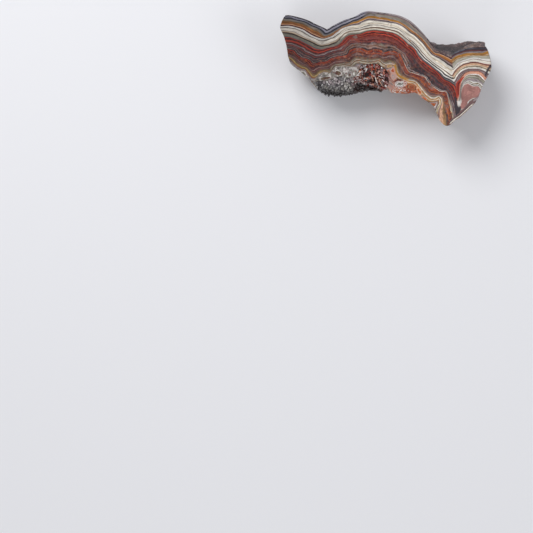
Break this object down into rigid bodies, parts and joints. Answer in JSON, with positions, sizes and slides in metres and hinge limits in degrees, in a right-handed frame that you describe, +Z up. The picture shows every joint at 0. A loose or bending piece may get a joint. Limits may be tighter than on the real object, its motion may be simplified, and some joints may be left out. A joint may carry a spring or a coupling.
{
  "type": "crazy lace agate",
  "caption": "Thick end piece of banded agate with one flat polished face, a sawn back, natural skin and a crystal-lined hollow in its edge.",
  "frame": {"origin": "middle of the footprint's bounding box, on the sawn back that the stone rests on", "axes": "+X along the stone's length, towards the lobe with the natural skin; +Y across it, from the hollow towards the skin; +Z up out of the polished face"},
  "size_m": [0.1692, 0.092, 0.044],
  "materials": {
    "banded_agate": "lace bands of cream, red, ochre and grey, polished on the face, dull skin, broken sides, sawn back",
    "quartz_druse": "small glassy quartz points, rose and red in the pocket and grey-white on the slope"
  },
  "bodies": {
    "root": {"agate_stone": "banded_agate", "druse_crust": "quartz_druse"}
  },
  "joints": []
}
